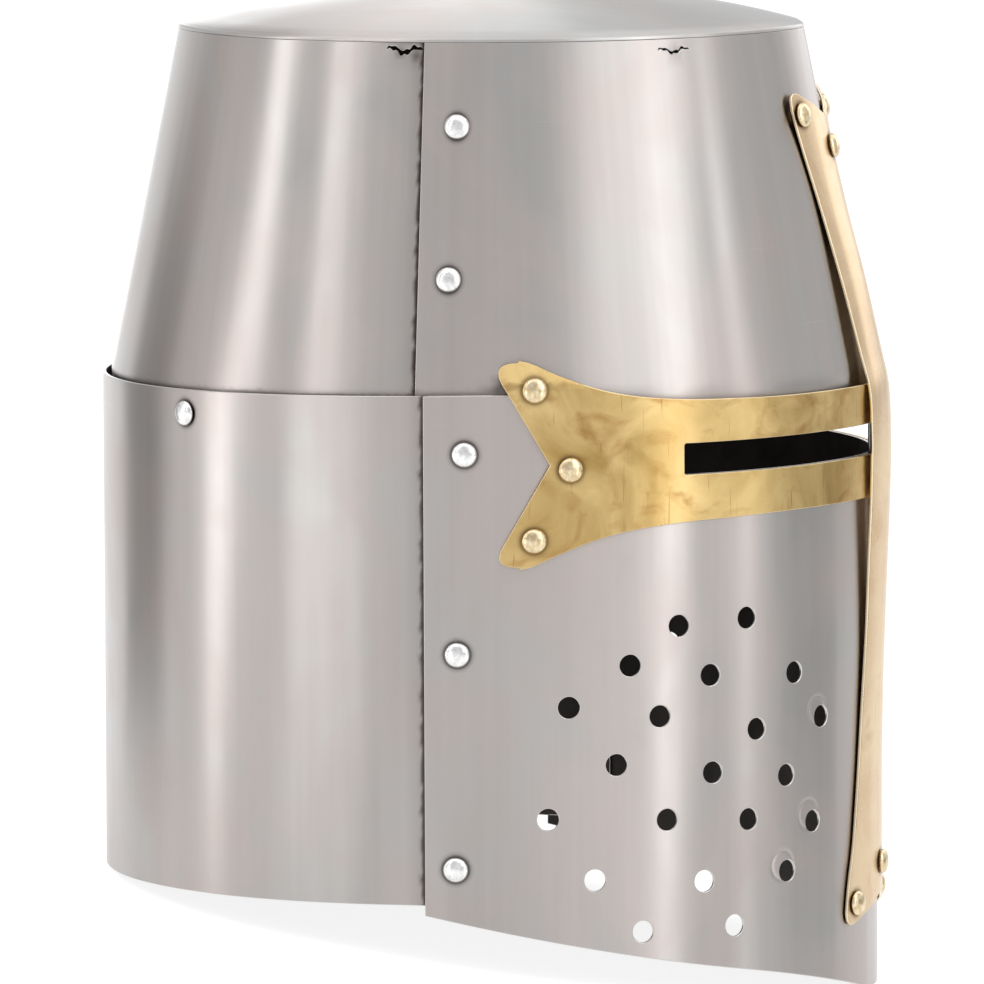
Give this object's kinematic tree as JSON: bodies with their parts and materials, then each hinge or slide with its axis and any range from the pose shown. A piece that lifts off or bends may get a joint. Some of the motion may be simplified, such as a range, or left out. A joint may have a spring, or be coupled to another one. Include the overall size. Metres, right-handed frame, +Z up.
{
  "type": "great helm",
  "caption": "Great helm of curved steel plates with a shallow domed top, breath holes, a brass sight band with eye slots and a brass bar down the ridge of the face.",
  "frame": {"origin": "middle of the footprint's bounding box, on the floor that the helm stands on", "axes": "+Z up, -Y the way the face looks, +X towards the wearer's left"},
  "size_m": [0.2294, 0.2866, 0.315],
  "materials": {
    "steel": "brushed, with grey mottling and fine scratches",
    "top_steel": "brushed satin",
    "brass": "polished, with light scratches and amber stains",
    "rivet_steel": "domed and polished",
    "rivet_brass": "domed and polished, pale"
  },
  "bodies": {
    "root": {"top_plate": "top_steel", "upper_front_plate": "steel", "upper_back_plate": "steel", "lower_front_plate": "steel", "lower_back_plate": "steel", "sight_band": "brass", "face_bar": "brass", "upper_seam_rivet_top_right": "rivet_steel", "upper_seam_rivet_top_left": "rivet_steel", "upper_seam_rivet_low_right": "rivet_steel", "upper_seam_rivet_low_left": "rivet_steel", "lower_seam_rivet_top_right": "rivet_steel", "lower_seam_rivet_top_left": "rivet_steel", "lower_seam_rivet_middle_right": "rivet_steel", "lower_seam_rivet_middle_left": "rivet_steel", "lower_seam_rivet_low_right": "rivet_steel", "lower_seam_rivet_low_left": "rivet_steel", "back_rivet_right": "rivet_steel", "back_rivet_left": "rivet_steel", "band_rivet_top_right": "rivet_brass", "band_rivet_top_left": "rivet_brass", "band_rivet_middle_right": "rivet_brass", "band_rivet_middle_left": "rivet_brass", "band_rivet_low_right": "rivet_brass", "band_rivet_low_left": "rivet_brass", "bar_rivet_top_right": "rivet_brass", "bar_rivet_top_left": "rivet_brass", "bar_rivet_low_right": "rivet_brass", "bar_rivet_low_left": "rivet_brass", "bar_rivet_top_centre": "rivet_brass", "bar_rivet_low_centre": "rivet_brass"}
  },
  "joints": []
}
